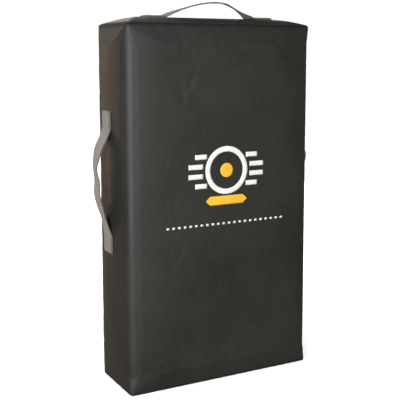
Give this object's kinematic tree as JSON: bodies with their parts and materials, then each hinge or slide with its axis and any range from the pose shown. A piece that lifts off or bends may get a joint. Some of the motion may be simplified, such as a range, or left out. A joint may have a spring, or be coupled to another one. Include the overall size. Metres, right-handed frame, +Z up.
{
  "type": "kick shield",
  "caption": "Rectangular foam kick shield in a sewn synthetic-leather cover, with webbing handles on the top and both sides, arm straps on the back and a zip.",
  "frame": {"origin": "centre of the flat bottom that the shield stands on", "axes": "+Z up along the height, -Y out of the strike face, +X to the right of someone facing the strike face"},
  "size_m": [0.4032, 0.1885, 0.6372],
  "materials": {
    "cover_leather": "satin",
    "dense_foam": "matte",
    "core_foam": "matte",
    "grey_webbing": "matte",
    "black_webbing": "matte",
    "grey_thread": "satin",
    "black_thread": "satin",
    "backing_fabric": "matte",
    "zip_tape": "matte",
    "zip_coil": "satin",
    "zip_metal": "satin",
    "white_print": "satin",
    "yellow_print": "satin"
  },
  "bodies": {
    "shield": {"front_wrap_panel": "cover_leather", "back_main_panel": "cover_leather", "back_zip_strip": "cover_leather", "top_panel": "cover_leather", "bottom_panel": "cover_leather", "strike_foam_layer": "dense_foam", "front_core_foam": "core_foam", "rear_core_foam": "core_foam", "back_foam_layer": "dense_foam", "top_handle_sewn_ends": "grey_webbing", "top_handle_stitching": "grey_thread", "top_handle_backing_patches": "backing_fabric", "left_handle_sewn_ends": "grey_webbing", "left_handle_stitching": "grey_thread", "left_handle_backing_patches": "backing_fabric", "right_handle_sewn_ends": "grey_webbing", "right_handle_stitching": "grey_thread", "right_handle_backing_patches": "backing_fabric", "upper_arm_strap_sewn_ends": "black_webbing", "upper_arm_strap_stitching": "black_thread", "upper_arm_strap_backing_patches": "backing_fabric", "lower_arm_strap_sewn_ends": "black_webbing", "lower_arm_strap_stitching": "black_thread", "lower_arm_strap_backing_patches": "backing_fabric", "zip_inner_tape": "zip_tape", "zip_outer_tape": "zip_tape", "zip_inner_coil": "zip_coil", "zip_outer_coil": "zip_coil", "zip_top_stops": "zip_metal", "zip_bottom_stop": "zip_metal", "zip_stitching": "black_thread", "white_print": "white_print", "yellow_print": "yellow_print"},
    "top_handle": {"top_handle_loop": "grey_webbing"},
    "left_handle": {"left_handle_loop": "grey_webbing"},
    "right_handle": {"right_handle_loop": "grey_webbing"},
    "upper_arm_strap": {"upper_arm_strap_loop": "black_webbing"},
    "lower_arm_strap": {"lower_arm_strap_loop": "black_webbing"},
    "zip_slider": {"zip_slider": "zip_metal"},
    "zip_pull": {"zip_pull": "zip_metal"}
  },
  "joints": [
    {"name": "top_handle_swing", "type": "hinge", "parent": "shield", "child": "top_handle", "pos_m": [0.003, 0, 0.62412], "axis": [1, 0, 0], "range_deg": [-35, 35], "stiffness_Nm_per_rad": 0.05},
    {"name": "left_handle_swing", "type": "hinge", "parent": "shield", "child": "left_handle", "pos_m": [-0.19212, 0.008, 0.343], "axis": [0, 0, 1], "range_deg": [-35, 35], "stiffness_Nm_per_rad": 0.05},
    {"name": "right_handle_swing", "type": "hinge", "parent": "shield", "child": "right_handle", "pos_m": [0.19212, 0.008, 0.343], "axis": [0, 0, 1], "range_deg": [-35, 35], "stiffness_Nm_per_rad": 0.05},
    {"name": "upper_arm_strap_swing", "type": "hinge", "parent": "shield", "child": "upper_arm_strap", "pos_m": [-0.01523, 0.08728, 0.42], "axis": [1, 0, 0], "range_deg": [-55, 55], "stiffness_Nm_per_rad": 0.1},
    {"name": "lower_arm_strap_swing", "type": "hinge", "parent": "shield", "child": "lower_arm_strap", "pos_m": [-0.01523, 0.08728, 0.205], "axis": [1, 0, 0], "range_deg": [-55, 55], "stiffness_Nm_per_rad": 0.1},
    {"name": "zip_slide", "type": "slide", "parent": "shield", "child": "zip_slider", "axis": [0, 0, 1], "range_m": [0, 0.4775]},
    {"name": "zip_pull_swing", "type": "hinge", "parent": "zip_slider", "child": "zip_pull", "pos_m": [0.14, 0.0657, 0.06], "axis": [1, 0, 0], "range_deg": [-4, 150]}
  ]
}
